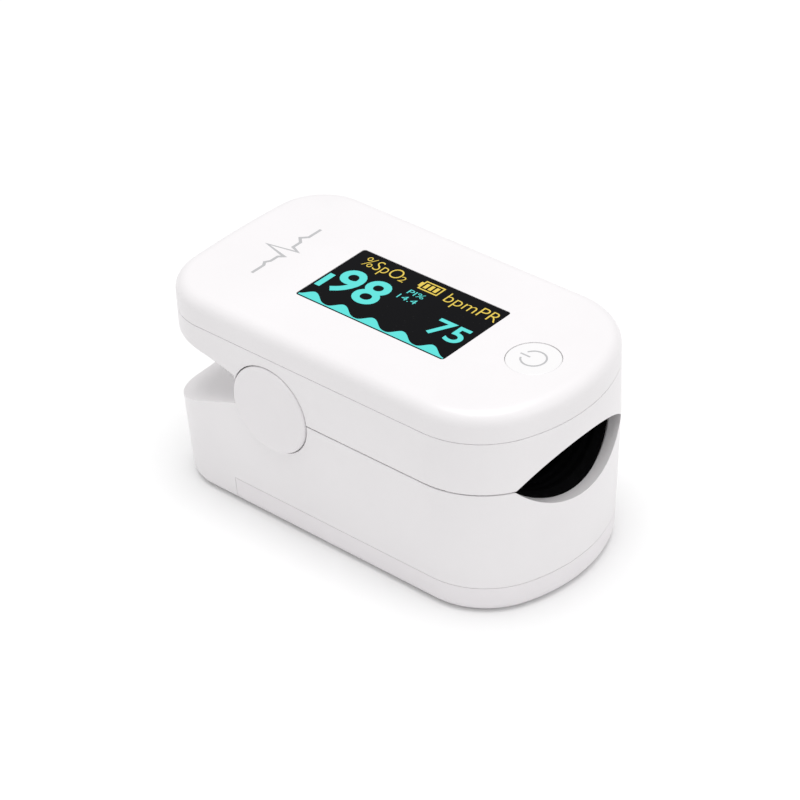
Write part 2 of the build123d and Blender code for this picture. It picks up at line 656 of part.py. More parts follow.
def main():
    envelope = lower_envelope()
    cap = make_pivot_cap()
    spring = make_torsion_spring()
    nodes = {
        "top_cover": make_top_cover(),
        "upper_housing": make_upper_housing(),
        "upper_pad": make_upper_pad(),
        "display_window": make_display_window(),
        "oled_panel": make_oled_panel(),
        "display_frame": make_display_frame(),
        "display_ribbon": make_display_ribbon(),
        "main_board": make_main_board(),
        "controller_chip": make_controller_chip(),
        "front_end_chip": make_front_end_chip(),
        "smd_parts": make_smd_parts(),
        "tact_switch": make_tact_switch(),
        "switch_plunger": make_switch_plunger(),
        "power_button": make_power_button(),
        "emitter_board": make_emitter_board(),
        "emitter_led": make_emitter_led(),
        "emitter_window": make_emitter_window(),
        "flex_connector": make_flex_connector(),
        "cover_screws": make_cover_screws(),
        "lower_housing": make_lower_housing(envelope),
        "battery_door": make_battery_door(envelope),
        "lower_pad": make_lower_pad(),
        "cell_left": make_cell(-1),
        "cell_right": make_cell(1),
        "front_bridge_contact": make_front_bridge_contact(),
        "rear_spring_contact": make_rear_spring_contact(),
        "rear_plate_contact": make_rear_plate_contact(),
        "detector_board": make_detector_board(),
        "photodiode": make_photodiode(),
        "detector_window": make_detector_window(),
        "hinge_pin": make_hinge_pin(),
        "pivot_cap_left": mirror(cap, Plane.XZ),
        "pivot_cap_right": cap,
        "torsion_spring_left": mirror(spring, Plane.XZ),
        "torsion_spring_right": spring,
        "flex_cable": make_flex_cable(),
    }
    for name, shape in nodes.items():
        export_step(shape, f"parts/{name}.step")
        print(name, len(shape.solids()), round(shape.volume, 2))


main()
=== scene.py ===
import json
import math

import bmesh
import bpy
from mathutils import Matrix, Vector


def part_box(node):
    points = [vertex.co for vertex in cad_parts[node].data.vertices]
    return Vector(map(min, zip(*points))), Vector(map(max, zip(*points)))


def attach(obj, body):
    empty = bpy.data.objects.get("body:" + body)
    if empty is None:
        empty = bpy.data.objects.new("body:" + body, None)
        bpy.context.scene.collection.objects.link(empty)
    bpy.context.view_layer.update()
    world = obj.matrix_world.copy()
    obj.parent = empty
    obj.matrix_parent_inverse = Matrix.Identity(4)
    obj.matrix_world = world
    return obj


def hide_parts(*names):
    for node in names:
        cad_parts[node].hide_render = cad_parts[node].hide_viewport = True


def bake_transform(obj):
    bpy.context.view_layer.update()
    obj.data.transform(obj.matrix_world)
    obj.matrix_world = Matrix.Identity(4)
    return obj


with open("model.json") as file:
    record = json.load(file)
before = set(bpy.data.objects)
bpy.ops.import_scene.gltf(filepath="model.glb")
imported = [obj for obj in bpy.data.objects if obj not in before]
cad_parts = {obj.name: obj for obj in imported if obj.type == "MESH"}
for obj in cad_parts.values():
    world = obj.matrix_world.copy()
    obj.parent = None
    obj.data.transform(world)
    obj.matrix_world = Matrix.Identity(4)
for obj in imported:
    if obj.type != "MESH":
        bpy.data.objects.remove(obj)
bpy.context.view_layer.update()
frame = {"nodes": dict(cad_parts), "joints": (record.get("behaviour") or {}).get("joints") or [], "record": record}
nodes = frame["nodes"]
mm = 0.001
tinyGap = 1e-7  # points nearer than this are one point


def toObject(name, bm, smoothAngle=30):
    bmesh.ops.recalc_face_normals(bm, faces=bm.faces[:])
    mesh = bpy.data.meshes.new(name)
    bm.to_mesh(mesh)
    bm.free()
    mesh.shade_smooth()
    mesh.set_sharp_from_angle(angle=math.radians(smoothAngle))
    piece = bpy.data.objects.new(name, mesh)
    bpy.context.scene.collection.objects.link(piece)
    return piece


def finished(piece, material, body):
    piece.data.materials.clear()
    piece.data.materials.append(material)
    if body:  # a piece that spans both jaws gets no body and is left unattached
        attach(piece, body)
    return piece


def meshFrom(source):
    graph = bpy.context.evaluated_depsgraph_get()  # the source with its modifiers applied
    mesh = bpy.data.meshes.new_from_object(source.evaluated_get(graph))
    bpy.data.objects.remove(source)
    return mesh


def textMesh(words, boldness):
    curve = bpy.data.curves.new("lettering", "FONT")
    curve.body = words
    curve.size = 1.0
    curve.offset = boldness
    curve.resolution_u = 5
    holder = bpy.data.objects.new("lettering", curve)
    bpy.context.scene.collection.objects.link(holder)
    bpy.context.view_layer.update()
    return meshFrom(holder)


def fromMesh(mesh):
    bm = bmesh.new()
    bm.from_mesh(mesh)
    bpy.data.meshes.remove(mesh)
    bmesh.ops.remove_doubles(bm, verts=bm.verts[:], dist=tinyGap)
    return bm


def vertsOf(geometry):
    return [item for item in geometry if isinstance(item, bmesh.types.BMVert)]


def thicken(bm, depth):
    lifted = bmesh.ops.extrude_face_region(bm, geom=bm.faces[:])["geom"]
    bmesh.ops.translate(bm, verts=vertsOf(lifted), vec=(0, 0, depth))


def drawLine(bm, points, closed=False):
    line = [bm.verts.new(point) for point in points]
    ends = line[1:] + line[:1] if closed else line[1:]
    for first, second in zip(line, ends):
        bm.edges.new((first, second))


def slab(bm, low, high, radius=0.0):
    made = bmesh.ops.create_cube(bm, size=1.0)["verts"]
    size = [b - a for a, b in zip(low, high)]
    middle = [(a + b) / 2 for a, b in zip(low, high)]
    bmesh.ops.scale(bm, verts=made, vec=size)
    bmesh.ops.translate(bm, verts=made, vec=middle)
    if radius:
        upright = [e for e in bm.edges
                   if e.verts[0] in made and abs((e.verts[0].co - e.verts[1].co).z) > tinyGap]
        bmesh.ops.bevel(bm, geom=upright, offset=radius, affect="EDGES", segments=5, profile=0.5,
                        material=-1)


def newGroup(name, inputs, outputs):
    group = bpy.data.node_groups.new(name, "ShaderNodeTree")
    for label, kind, value in inputs:
        socket = group.interface.new_socket(label, in_out="INPUT", socket_type=kind)
        socket.default_value = value
    for label, kind in outputs:
        group.interface.new_socket(label, in_out="OUTPUT", socket_type=kind)
    start = group.nodes.new("NodeGroupInput")
    end = group.nodes.new("NodeGroupOutput")
    return group, start, end


def mathNode(tree, operation, first, second=None):
    node = tree.nodes.new("ShaderNodeMath")
    node.operation = operation
    for index, value in enumerate((first, second)):
        if value is None:
            continue
        if isinstance(value, (int, float)):
            node.inputs[index].default_value = value
        else:
            tree.links.new(value, node.inputs[index])
    return node.outputs[0]


def makeMouldedGrain():
    group, start, end = newGroup(
        "mouldedGrain",
        [("Scale", "NodeSocketFloat", 6000.0), ("Flow", "NodeSocketFloat", 60.0),
         ("Rough", "NodeSocketFloat", 0.3), ("Spread", "NodeSocketFloat", 0.06)],
        [("Height", "NodeSocketFloat"), ("Roughness", "NodeSocketFloat"), ("Tone", "NodeSocketFloat")],
    )
    place = group.nodes.new("ShaderNodeTexCoord")
    grain = group.nodes.new("ShaderNodeTexNoise")
    grain.inputs["Detail"].default_value = 3.0
    flow = group.nodes.new("ShaderNodeTexNoise")
    flow.inputs["Detail"].default_value = 4.0
    for node, label in ((grain, "Scale"), (flow, "Flow")):
        group.links.new(place.outputs["Object"], node.inputs["Vector"])
        group.links.new(start.outputs[label], node.inputs["Scale"])
    mixed = mathNode(group, "MULTIPLY_ADD", flow.outputs["Fac"], 0.25)
    group.links.new(grain.outputs["Fac"], mixed.node.inputs[2])
    group.links.new(mixed, end.inputs["Height"])
    centred = mathNode(group, "SUBTRACT", flow.outputs["Fac"], 0.5)
    fine = mathNode(group, "SUBTRACT", grain.outputs["Fac"], 0.5)
    both = mathNode(group, "ADD", centred, fine)
    spread = mathNode(group, "MULTIPLY", both, start.outputs["Spread"])
    rough = mathNode(group, "ADD", spread, start.outputs["Rough"])
    group.links.new(rough, end.inputs["Roughness"])
    group.links.new(flow.outputs["Fac"], end.inputs["Tone"])
    return group


def makeEdgeWear():
    group, start, end = newGroup(
        "edgeWear",
        [("Sharpness", "NodeSocketFloat", 8.0), ("Patchiness", "NodeSocketFloat", 350.0)],
        [("Mask", "NodeSocketFloat")],
    )
    geometry = group.nodes.new("ShaderNodeNewGeometry")
    place = group.nodes.new("ShaderNodeTexCoord")
    patches = group.nodes.new("ShaderNodeTexNoise")
    group.links.new(place.outputs["Object"], patches.inputs["Vector"])
    group.links.new(start.outputs["Patchiness"], patches.inputs["Scale"])
    raised = mathNode(group, "SUBTRACT", geometry.outputs["Pointiness"], 0.5)
    sharp = mathNode(group, "MULTIPLY", raised, start.outputs["Sharpness"])
    broken = mathNode(group, "MULTIPLY", sharp, patches.outputs["Fac"])
    broken.node.use_clamp = True
    group.links.new(broken, end.inputs["Mask"])
    return group


def makeDust():
    group, start, end = newGroup(
        "dust",
        [("Scale", "NodeSocketFloat", 2200.0), ("Amount", "NodeSocketFloat", 0.5)],
        [("Mask", "NodeSocketFloat")],
    )
    place = group.nodes.new("ShaderNodeTexCoord")
    specks = group.nodes.new("ShaderNodeTexVoronoi")
    specks.inputs["Randomness"].default_value = 1.0
    drift = group.nodes.new("ShaderNodeTexNoise")
    drift.inputs["Scale"].default_value = 180.0
    group.links.new(place.outputs["Object"], specks.inputs["Vector"])
    group.links.new(start.outputs["Scale"], specks.inputs["Scale"])
    group.links.new(place.outputs["Object"], drift.inputs["Vector"])
    near = mathNode(group, "LESS_THAN", specks.outputs["Distance"], 0.13)
    here = mathNode(group, "GREATER_THAN", drift.outputs["Fac"], 0.55)
    both = mathNode(group, "MULTIPLY", near, here)
    amount = mathNode(group, "MULTIPLY", both, start.outputs["Amount"])
    group.links.new(amount, end.inputs["Mask"])
    return group


groups = {"grain": makeMouldedGrain(), "wear": makeEdgeWear(), "dust": makeDust()}
print("shader groups made")


def newMaterial(name, **sockets):
    material = bpy.data.materials.new(name)
    material.use_nodes = True
    shader = material.node_tree.nodes["Principled BSDF"]
    for label, value in sockets.items():
        shader.inputs[label.replace("_", " ")].default_value = value
    return material, material.node_tree, shader


def addGroup(tree, kind, **values):
    node = tree.nodes.new("ShaderNodeGroup")
    node.node_tree = groups[kind]
    for label, value in values.items():
        node.inputs[label].default_value = value
    return node


def addBump(tree, shader, height, depth, strength):
    bump = tree.nodes.new("ShaderNodeBump")
    bump.inputs["Distance"].default_value = depth
    bump.inputs["Strength"].default_value = strength
    tree.links.new(height, bump.inputs["Height"])
    tree.links.new(bump.outputs["Normal"], shader.inputs["Normal"])


def mixColours(tree, mask, first, second):
    mix = tree.nodes.new("ShaderNodeMix")
    mix.data_type = "RGBA"
    tree.links.new(mask, mix.inputs["Factor"])
    for socket, value in ((mix.inputs["A"], first), (mix.inputs["B"], second)):
        if hasattr(value, "links"):
            tree.links.new(value, socket)
        else:
            socket.default_value = value
    return mix.outputs["Result"]


def rampNode(tree, value, stops):
    ramp = tree.nodes.new("ShaderNodeValToRGB")
    tree.links.new(value, ramp.inputs["Fac"])
    ramp.color_ramp.elements[0].position = stops[0][0]
    ramp.color_ramp.elements[0].color = stops[0][1]
    ramp.color_ramp.elements[1].position = stops[-1][0]
    ramp.color_ramp.elements[1].color = stops[-1][1]
    for position, colour in stops[1:-1]:
        ramp.color_ramp.elements.new(position).color = colour
    return ramp.outputs["Color"]


def mouldedPlastic(name, dark, light, rough, grainDepth, coat=0.0, grainScale=6000.0):
    material, tree, shader = newMaterial(name, Coat_Weight=coat, Coat_Roughness=0.08, IOR=1.49)
    grain = addGroup(tree, "grain", Rough=rough, Scale=grainScale)
    wear = addGroup(tree, "wear")
    tone = rampNode(tree, grain.outputs["Tone"], [(0.3, dark), (0.7, light)])
    tree.links.new(mixColours(tree, wear.outputs["Mask"], tone, light), shader.inputs["Base Color"])
    tree.links.new(grain.outputs["Roughness"], shader.inputs["Roughness"])
    addBump(tree, shader, grain.outputs["Height"], depth=grainDepth, strength=0.35)
    return material


def metal(name, dark, light, rough):
    material, tree, shader = newMaterial(name, Metallic=1.0)
    grain = addGroup(tree, "grain", Rough=rough, Scale=9000.0, Flow=400.0, Spread=0.15)
    tone = rampNode(tree, grain.outputs["Tone"], [(0.35, dark), (0.65, light)])
    tree.links.new(tone, shader.inputs["Base Color"])
    tree.links.new(grain.outputs["Roughness"], shader.inputs["Roughness"])
    addBump(tree, shader, grain.outputs["Height"], depth=0.000004, strength=0.4)
    return material


def siliconeMaterial():
    material, tree, shader = newMaterial("blackSilicone", IOR=1.41, Specular_IOR_Level=0.08)
    grain = addGroup(tree, "grain", Rough=0.62, Scale=5000.0, Spread=0.1)
    dust = addGroup(tree, "dust", Amount=0.25)
    colour = mixColours(tree, dust.outputs["Mask"], (0.003, 0.003, 0.0035, 1), (0.06, 0.06, 0.06, 1))
    tree.links.new(colour, shader.inputs["Base Color"])
    tree.links.new(grain.outputs["Roughness"], shader.inputs["Roughness"])
    addBump(tree, shader, grain.outputs["Height"], depth=0.00002, strength=0.5)
    return material


def windowMaterial():
    material, tree, shader = newMaterial("smokedAcrylic", IOR=1.49, Specular_IOR_Level=0.05)
    grain = addGroup(tree, "grain", Rough=0.09, Scale=1500.0, Spread=0.03)
    dust = addGroup(tree, "dust", Scale=1500.0, Amount=0.12)
    colour = mixColours(tree, dust.outputs["Mask"], (0.002, 0.002, 0.003, 1), (0.05, 0.05, 0.05, 1))
    tree.links.new(colour, shader.inputs["Base Color"])
    tree.links.new(grain.outputs["Roughness"], shader.inputs["Roughness"])
    return material


dotsPerMetre = 5400.0
dimShare = 0.82  # brightness between two dots


def glowMaterial(name, colour):
    material, tree, shader = newMaterial(name, Emission_Strength=1.0, Roughness=0.3,
                                         Specular_IOR_Level=0.14)
    place = tree.nodes.new("ShaderNodeTexCoord")
    dots = tree.nodes.new("ShaderNodeTexVoronoi")  # the dots of the display
    dots.distance = "CHEBYCHEV"
    dots.inputs["Scale"].default_value = dotsPerMetre
    dots.inputs["Randomness"].default_value = 0.0
    tree.links.new(place.outputs["Object"], dots.inputs["Vector"])
    dim = tuple(c * dimShare for c in colour[:3]) + (1,)
    lit = rampNode(tree, dots.outputs["Distance"], [(0.38, colour), (0.5, dim)])
    tree.links.new(lit, shader.inputs["Emission Color"])
    shader.inputs["Base Color"].default_value = (0.01, 0.01, 0.012, 1)
    return material


def boardMaterial():
    material, tree, shader = newMaterial("solderMask", Coat_Weight=0.5, Coat_Roughness=0.12)
    place = tree.nodes.new("ShaderNodeTexCoord")
    tracks = tree.nodes.new("ShaderNodeTexBrick")
    tracks.inputs["Scale"].default_value = 700.0
    tracks.inputs["Mortar Size"].default_value = 0.03
    tree.links.new(place.outputs["Object"], tracks.inputs["Vector"])
    colour = mixColours(tree, tracks.outputs["Fac"], (0.01, 0.13, 0.05, 1), (0.05, 0.3, 0.12, 1))
    tree.links.new(colour, shader.inputs["Base Color"])
    grain = addGroup(tree, "grain", Rough=0.35)
    tree.links.new(grain.outputs["Roughness"], shader.inputs["Roughness"])
    addBump(tree, shader, tracks.outputs["Fac"], depth=0.00003, strength=0.5)
    return material


def filmMaterial():
    material, tree, shader = newMaterial("polyimideFilm", IOR=1.6, Coat_Weight=0.4)
    place = tree.nodes.new("ShaderNodeTexCoord")
    lines = tree.nodes.new("ShaderNodeTexWave")  # copper lines that run along the film
    lines.bands_direction = "Y"
    lines.inputs["Scale"].default_value = 320.0
    tree.links.new(place.outputs["Object"], lines.inputs["Vector"])
    film, copper = (0.32, 0.1, 0.01, 1), (0.62, 0.27, 0.06, 1)
    colour = rampNode(tree, lines.outputs["Fac"], [(0.45, film), (0.6, copper)])
    tree.links.new(colour, shader.inputs["Base Color"])
    grain = addGroup(tree, "grain", Rough=0.25)
    tree.links.new(grain.outputs["Roughness"], shader.inputs["Roughness"])
    addBump(tree, shader, lines.outputs["Fac"], depth=0.00002, strength=0.5)
    return material


def sleeveMaterial(name, direction):
    material, tree, shader = newMaterial(name, Coat_Weight=0.7, Coat_Roughness=0.1)
    place = tree.nodes.new("ShaderNodeTexCoord")
    axes = tree.nodes.new("ShaderNodeSeparateXYZ")
    tree.links.new(place.outputs["Object"], axes.inputs["Vector"])
    along = mathNode(tree, "MULTIPLY_ADD", axes.outputs["X"], 20.0 * direction)
    along.node.inputs[2].default_value = 0.5
    steel, dark, band = (0.55, 0.55, 0.55, 1), (0.015, 0.02, 0.03, 1), (0.1, 0.32, 0.42, 1)
    stops = [(0.0, band), (0.22, band), (0.23, dark), (0.8, dark), (0.81, band), (1.0, steel)]
    colour = rampNode(tree, along, stops)
    tree.links.new(colour, shader.inputs["Base Color"])
    grain = addGroup(tree, "grain", Rough=0.3)
    tree.links.new(grain.outputs["Roughness"], shader.inputs["Roughness"])
    addBump(tree, shader, grain.outputs["Height"], depth=0.00001, strength=0.3)
    return material


def lensMaterial(name, colour):
    material, tree, shader = newMaterial(name, IOR=1.5, Coat_Weight=0.8, Coat_Roughness=0.03,
                                         Transmission_Weight=0.35)
    grain = addGroup(tree, "grain", Rough=0.12, Spread=0.05)
    deep = tuple(c * 0.5 for c in colour[:3]) + (1,)
    tone = rampNode(tree, grain.outputs["Tone"], [(0.3, deep), (0.7, colour)])
    tree.links.new(tone, shader.inputs["Base Color"])
    tree.links.new(grain.outputs["Roughness"], shader.inputs["Roughness"])
    return material


# The whites' slight pink tint is painted light: it stands in for the tint of the light on the sides, not the
# plastic's own colour.
materials = {
    "shell": mouldedPlastic("whiteAbs", (0.80, 0.78, 0.79, 1), (0.83, 0.81, 0.82, 1), 0.34,
                            0.000012, coat=0.15),
    # painted shade: a darker, pinker copy of the white for the door, low on the sides
    "door": mouldedPlastic("whiteAbsDoorPaintedShade", (0.79, 0.764, 0.78, 1), (0.82, 0.794, 0.81, 1), 0.36,
                           0.000012, coat=0.12),
    # painted shade: a darker, pinker copy of the white for the caps on the sides
    "cap": mouldedPlastic("whiteAbsCapPaintedShade", (0.79, 0.768, 0.78, 1), (0.82, 0.798, 0.81, 1), 0.3,
                          0.00001, coat=0.2),
    # painted light: a lighter, more neutral copy of the white for the button on the top
    "button": mouldedPlastic("whiteAbsButtonPaintedLight", (0.81, 0.80, 0.805, 1), (0.84, 0.83, 0.835, 1), 0.3,
                             0.00001, coat=0.2),
    "print": mouldedPlastic("greyPrint", (0.42, 0.42, 0.43, 1), (0.48, 0.48, 0.49, 1), 0.4, 0.000006),
    "pad": siliconeMaterial(),
    "window": windowMaterial(),
    "cyan": glowMaterial("cyanDots", (0.115, 0.80, 0.75, 1)),
    "yellow": glowMaterial("yellowDots", (0.86, 0.64, 0.09, 1)),
    "panel": mouldedPlastic("panelGlass", (0.01, 0.01, 0.014, 1), (0.02, 0.02, 0.028, 1), 0.08, 0.000004,
                            coat=0.6),
    "foam": mouldedPlastic("foam", (0.015, 0.015, 0.015, 1), (0.04, 0.04, 0.04, 1), 0.85, 0.00008,
                           grainScale=3000.0),
    "polyimide": filmMaterial(),
    "board": boardMaterial(),
    "chip": mouldedPlastic("chipEpoxy", (0.012, 0.012, 0.013, 1), (0.03, 0.03, 0.03, 1), 0.55, 0.00002),
    "component": metal("tinAndCeramic", (0.42, 0.36, 0.28, 1), (0.62, 0.58, 0.5, 1), 0.4),
    "switch": mouldedPlastic("blackNylon", (0.02, 0.02, 0.021, 1), (0.05, 0.05, 0.05, 1), 0.5, 0.00002),
    "lens": lensMaterial("clearRedEpoxy", (0.5, 0.05, 0.04, 1)),
    "steel": metal("polishedSteel", (0.45, 0.45, 0.46, 1), (0.66, 0.66, 0.67, 1), 0.28),
    "contact": metal("nickelPlate", (0.58, 0.56, 0.5, 1), (0.78, 0.76, 0.7, 1), 0.22),
    "cell": mouldedPlastic("plainSleeve", (0.015, 0.02, 0.03, 1), (0.02, 0.025, 0.035, 1), 0.3, 0.00001),
}
slotOf = {row["node"]: row["material_slot"] for row in frame["record"]["subparts"]}
for nodeName, node in nodes.items():
    node.data.materials.clear()
    node.data.materials.append(materials[slotOf[nodeName]])
print("materials placed on", len(nodes), "parts")


readout = {
    "lift": 0.008 * mm,  # above the window's face
    "depth": 0.02 * mm,
    "border": 0.22 * mm,
    "waveHumps": 4.89,
    "waveStart": 0.06,  # share of a hump that the left edge cuts off
    "waveSteps": 160,
    "waveHeight": 1.38 * mm,
    "waveBase": 0.18 * mm,
    "waveRise": 0.38,  # share of a hump's length before its peak
    "waveSharpness": 1.25,
    "bar": (-11.75 * mm, -3.4 * mm, -10.9 * mm, -0.25 * mm),  # left, low, right, high
    "icon": (-0.9 * mm, 3.8 * mm, 2.25 * mm, 5.75 * mm),  # the same, for the battery's outline
    "iconLine": 0.2 * mm,
    "iconNub": (0.35 * mm, 0.5 * mm),  # how far it stands out, and its distance from the corners
    "iconBars": 3,
    "iconBarWidth": 0.5 * mm,
    "iconBarPitch": 0.8 * mm,
    "iconBarGap": (0.5 * mm, 0.45 * mm),  # from the outline's left edge, and from its top and base
    "words": [  # name, words, colour, left, right, baseline, cap height, boldness
        ("readoutBigNumber", "98", "cyan", -10.5, -2.75, -3.3, 5.65, 0.017),
        ("readoutSmallNumber", "75", "cyan", 6.05, 11.2, -3.1, 3.6, 0.014),
        ("readoutLeftLabel", "%SpO", "yellow", -10.3, -4.1, 3.65, 2.05, -0.014),
        ("readoutLeftIndex", "2", "yellow", -4.0, -3.15, 3.55, 1.15, -0.012),
        ("readoutRightLabel", "bpmPR", "yellow", 3.45, 11.75, 3.5, 2.0, -0.014),
        ("readoutFigureLabel", "PI%", "cyan", -1.2, 1.35, 2.1, 0.95, -0.01),
        ("readoutFigure", "14.4", "cyan", -1.6, 1.3, 0.6, 0.95, -0.01),
    ],
}
windowLow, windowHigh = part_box("display_window")
windowMiddle = (Vector(windowLow) + Vector(windowHigh)) / 2
readoutZ = windowHigh[2] + readout["lift"]


def onWindow(bm):
    bmesh.ops.translate(bm, verts=bm.verts[:], vec=(windowMiddle.x, windowMiddle.y, readoutZ))


def spanOf(bm, axis):
    places = [v.co[axis] for v in bm.verts]
    return min(places), max(places)


def lettering(name, words, colour, left, right, baseline, capHeight, boldness):
    tall = fromMesh(textMesh("8", boldness))  # its height stands for the capitals'
    low, high = spanOf(tall, 1)
    tall.free()
    bm = fromMesh(textMesh(words, boldness))
    start, stop = spanOf(bm, 0)
    bmesh.ops.translate(bm, verts=bm.verts[:], vec=(-start, -low, 0))
    wide = (right - left) * mm / (stop - start)
    bmesh.ops.scale(bm, verts=bm.verts[:], vec=(wide, capHeight * mm / (high - low), 1))
    bmesh.ops.translate(bm, verts=bm.verts[:], vec=(left * mm, baseline * mm, 0))
    thicken(bm, readout["depth"])
    onWindow(bm)
    finished(toObject(name, bm), materials[colour], "upper_jaw")


def makeWave():
    half = (windowHigh[0] - windowLow[0]) / 2 - readout["border"]
    pitch = 2 * half / readout["waveHumps"]
    base = -(windowHigh[1] - windowLow[1]) / 2 + readout["border"]
    steps = readout["waveSteps"]
    rise = readout["waveRise"]
    bm = bmesh.new()
    drawLine(bm, [(-half + 2 * half * step / steps, base, 0) for step in range(steps + 1)])
    raised = bmesh.ops.extrude_edge_only(bm, edges=bm.edges[:])["geom"]
    for vert in vertsOf(raised):
        phase = ((vert.co.x + half) / pitch + readout["waveStart"]) % 1.0
        turn = phase / rise if phase < rise else 1 + (phase - rise) / (1 - rise)
        hump = (0.5 - 0.5 * math.cos(math.pi * turn)) ** readout["waveSharpness"]
        vert.co.y += readout["waveBase"] + readout["waveHeight"] * hump
    thicken(bm, readout["depth"])
    onWindow(bm)
    finished(toObject("readoutWave", bm), materials["cyan"], "upper_jaw")


def makePulseBar():
    left, low, right, high = readout["bar"]
    bm = bmesh.new()
    slab(bm, (left, low, 0), (right, high, readout["depth"]))
    onWindow(bm)
    finished(toObject("readoutPulseBar", bm), materials["cyan"], "upper_jaw")


def makeCellIcon():
    left, low, right, high = readout["icon"]
    line, depth = readout["iconLine"], readout["depth"]
    nubLength, nubGap = readout["iconNub"]
    gapSide, gapEnd = readout["iconBarGap"]
    bm = bmesh.new()
    slab(bm, (left, low, 0), (right, low + line, depth))
    slab(bm, (left, high - line, 0), (right, high, depth))
    slab(bm, (left, low + line, 0), (left + line, high - line, depth))
    slab(bm, (right - line, low + line, 0), (right, high - line, depth))
    slab(bm, (left - nubLength, low + nubGap, 0), (left, high - nubGap, depth))
    for bar in range(readout["iconBars"]):
        start = left + gapSide + readout["iconBarPitch"] * bar
        slab(bm, (start, low + gapEnd, 0), (start + readout["iconBarWidth"], high - gapEnd, depth))
    onWindow(bm)
    finished(toObject("readoutCellIcon", bm), materials["yellow"], "upper_jaw")


for row in readout["words"]:
    lettering(*row)
makeWave()
makePulseBar()
makeCellIcon()
print("readout made")


marks = {
    "printDepth": 0.012 * mm,
    "iconRadius": 1.6 * mm,
    "iconLine": 0.24 * mm,
    "iconGap": 50,  # degrees left open at the top of the ring
    "iconSteps": 56,
    "iconStroke": (0.55 * mm, 2.0 * mm),  # from the ring's middle to each end of the stroke
    "iconLift": 0.004 * mm,
    "traceAt": (-18.9 * mm, -0.3 * mm),
    "traceLine": 0.42 * mm,
    "trace": [  # share of the length, share of the height
        (0, 0), (0.17, 0), (0.22, 0.14), (0.27, 0), (0.37, 0), (0.41, -0.2), (0.48, 1),
        (0.55, -0.42), (0.59, 0), (0.7, 0), (0.76, 0.26), (0.82, 0), (1, 0),
    ],
    "sharpestBend": 0.45,  # cosine of half the bend, past which the line gets thinner
    "traceLength": 13.0 * mm,
    "traceHeight": 3.1 * mm,
}


def makePowerIcon():
    low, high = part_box("power_button")
    middle = (Vector(low) + Vector(high)) / 2
    gap = math.radians(marks["iconGap"])
    radius, half = marks["iconRadius"], marks["iconLine"] / 2
    bm = bmesh.new()
    drawLine(bm, [(radius - half, 0, 0), (radius + half, 0, 0)])
    bmesh.ops.spin(bm, geom=bm.verts[:] + bm.edges[:], cent=(0, 0, 0), axis=(0, 0, 1),
                   angle=2 * math.pi - gap, steps=marks["iconSteps"], use_merge=False)
    turn = Matrix.Rotation(gap / 2, 3, "Z")
    bmesh.ops.rotate(bm, verts=bm.verts[:], cent=(0, 0, 0), matrix=turn)
    thicken(bm, marks["printDepth"])
    near, far = marks["iconStroke"]
    slab(bm, (near, -half, 0), (far, half, marks["printDepth"]))
    about = Matrix.Rotation(math.pi, 3, "Z")  # the open side looks towards the display
    bmesh.ops.rotate(bm, verts=bm.verts[:], cent=(0, 0, 0), matrix=about)
    bmesh.ops.translate(bm, verts=bm.verts[:], vec=(middle.x, middle.y, high[2] + marks["iconLift"]))
    finished(toObject("powerIcon", bm), materials["print"], "power_key")


def makePulseMark():
    points = [Vector((-up * marks["traceHeight"], (along - 0.5) * marks["traceLength"], 0))
              for along, up in marks["trace"]]
    bm = bmesh.new()
    drawLine(bm, points)
    edge = bmesh.ops.extrude_edge_only(bm, edges=bm.edges[:])["geom"]
    otherSide = sorted(vertsOf(edge), key=lambda v: v.co.y)
    for index, (first, second) in enumerate(zip(bm.verts[:len(points)], otherSide)):
        point = points[index]
        before = (point - points[max(index - 1, 0)]).normalized()
        after = (points[min(index + 1, len(points) - 1)] - point).normalized()
        along = (before + after).normalized()
        side = Vector((along.y, -along.x, 0))  # points along the middle of the bend
        square = Vector((after.y, -after.x, 0)) if after.length else side
        reach = marks["traceLine"] / 2 / max(side.dot(square), marks["sharpestBend"])
        first.co = point - side * reach
        second.co = point + side * reach
    thicken(bm, marks["printDepth"])
    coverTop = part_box("top_cover")[1][2]
    x, y = marks["traceAt"]
    bmesh.ops.translate(bm, verts=bm.verts[:], vec=(x, y, coverTop - marks["printDepth"] / 2))
    finished(toObject("pulseMark", bm), materials["print"], "upper_jaw")


makePowerIcon()
makePulseMark()
print("marks made")


pads = {
    "upperRadius": 14.85 * mm,
    "upperThickness": 1.35 * mm,
    "lowerRadius": 13.45 * mm,
    "lowerThickness": 0.75 * mm,
    "wallReach": 8.9 * mm,  # how near the rear wall comes to the tunnel's axis
    "ribs": 3,
    "ribStart": 1.4 * mm,  # behind the front edge
    "ribPitch": 1.3 * mm,
    "ribHeight": 0.12 * mm,
    "ribFoot": 0.4 * mm,  # half widths
    "ribTip": 0.15 * mm,
    "sweep": 104,  # degrees, cut level at the rim afterwards
    "sweepSteps": 72,
    "roundRadius": 0.28 * mm,
    "noseRadius": 20.4 * mm,
    "cornerRadius": 9.7 * mm,
    "cornerCentre": (17.0 * mm, 4.4 * mm),
    "cornerFrom": 0.41,  # share of the corner's radius where the corner takes over from the nose
    "lean": 0.048,  # the lower wall leans in towards the base
    "openingSlack": 0.1 * mm,  # round the optical window
    "openingRadius": 0.5 * mm,
    "openingReach": 3.0 * mm,
}


def padFront(front, across, drop):
    across = abs(across)
    nose = front - pads["noseRadius"]
    x = nose + math.sqrt(pads["noseRadius"] ** 2 - across**2)
    cornerX, cornerY = pads["cornerCentre"]
    if across > cornerY + pads["cornerFrom"] * pads["cornerRadius"]:
        side = min(across - cornerY, pads["cornerRadius"])
        x = min(x, cornerX + math.sqrt(pads["cornerRadius"] ** 2 - side**2))
    return x - pads["lean"] * drop


